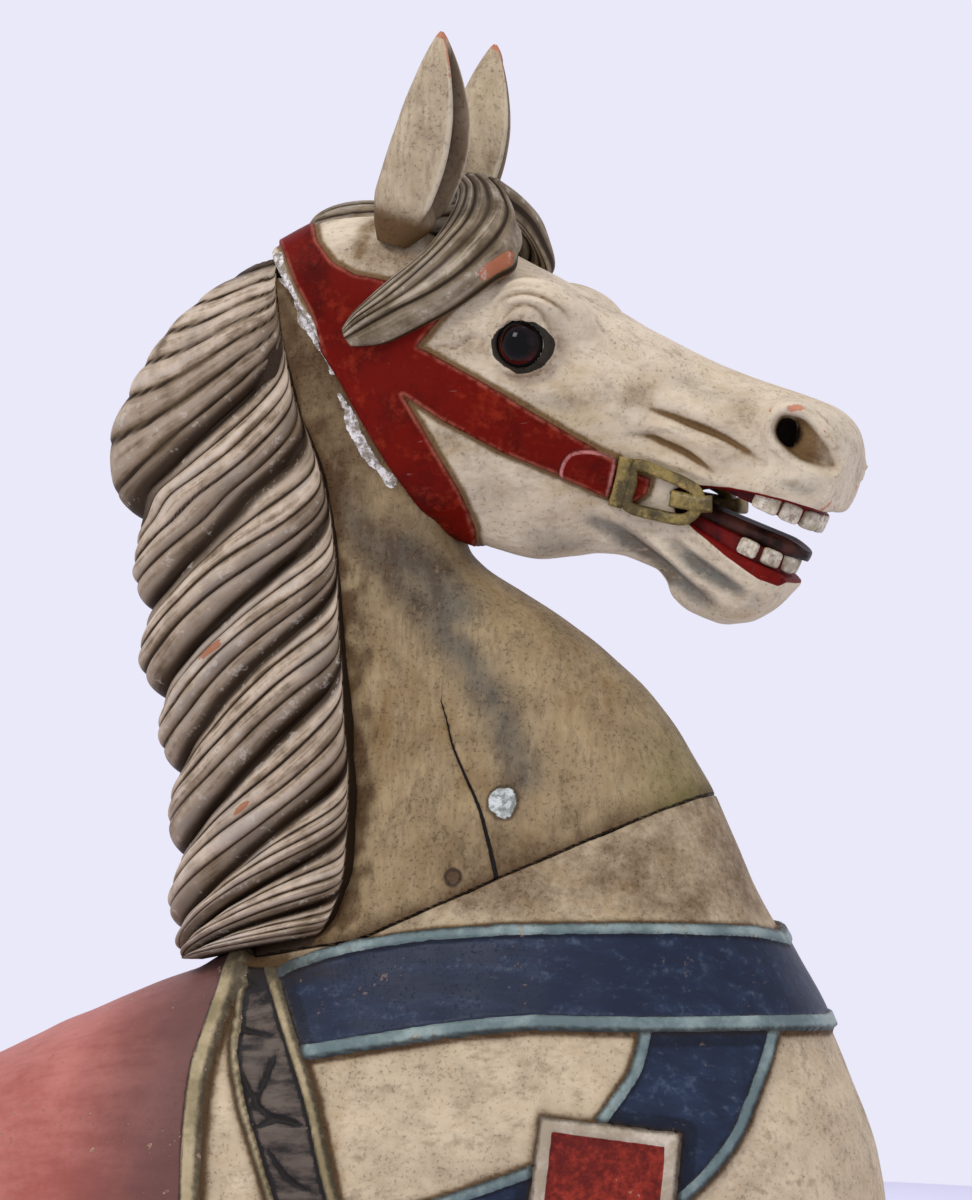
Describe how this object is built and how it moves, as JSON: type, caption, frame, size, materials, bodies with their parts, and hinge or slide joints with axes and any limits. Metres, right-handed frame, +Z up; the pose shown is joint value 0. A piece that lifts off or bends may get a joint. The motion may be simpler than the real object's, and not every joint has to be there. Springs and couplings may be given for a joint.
{
  "type": "carousel horse",
  "caption": "Carved and painted wooden bust of a carousel horse with pricked ears, open mouth, twisted mane, glass eyes, bridle and breast harness, cut flat below.",
  "frame": {"origin": "centre of the flat underside", "axes": "+X the way the horse faces, +Z up, -Y its right side"},
  "size_m": [0.6182, 0.3053, 0.7974],
  "materials": {
    "breast_paint": "worn satin paint",
    "neck_paint": "worn satin paint",
    "head_paint": "worn satin paint",
    "ear_paint": "worn satin paint",
    "eye_glass": "gloss"
  },
  "bodies": {
    "root": {"breast": "breast_paint", "neck_and_mane": "neck_paint", "head": "head_paint", "right_ear": "ear_paint", "left_ear": "ear_paint", "right_eye": "eye_glass", "left_eye": "eye_glass"}
  },
  "joints": []
}
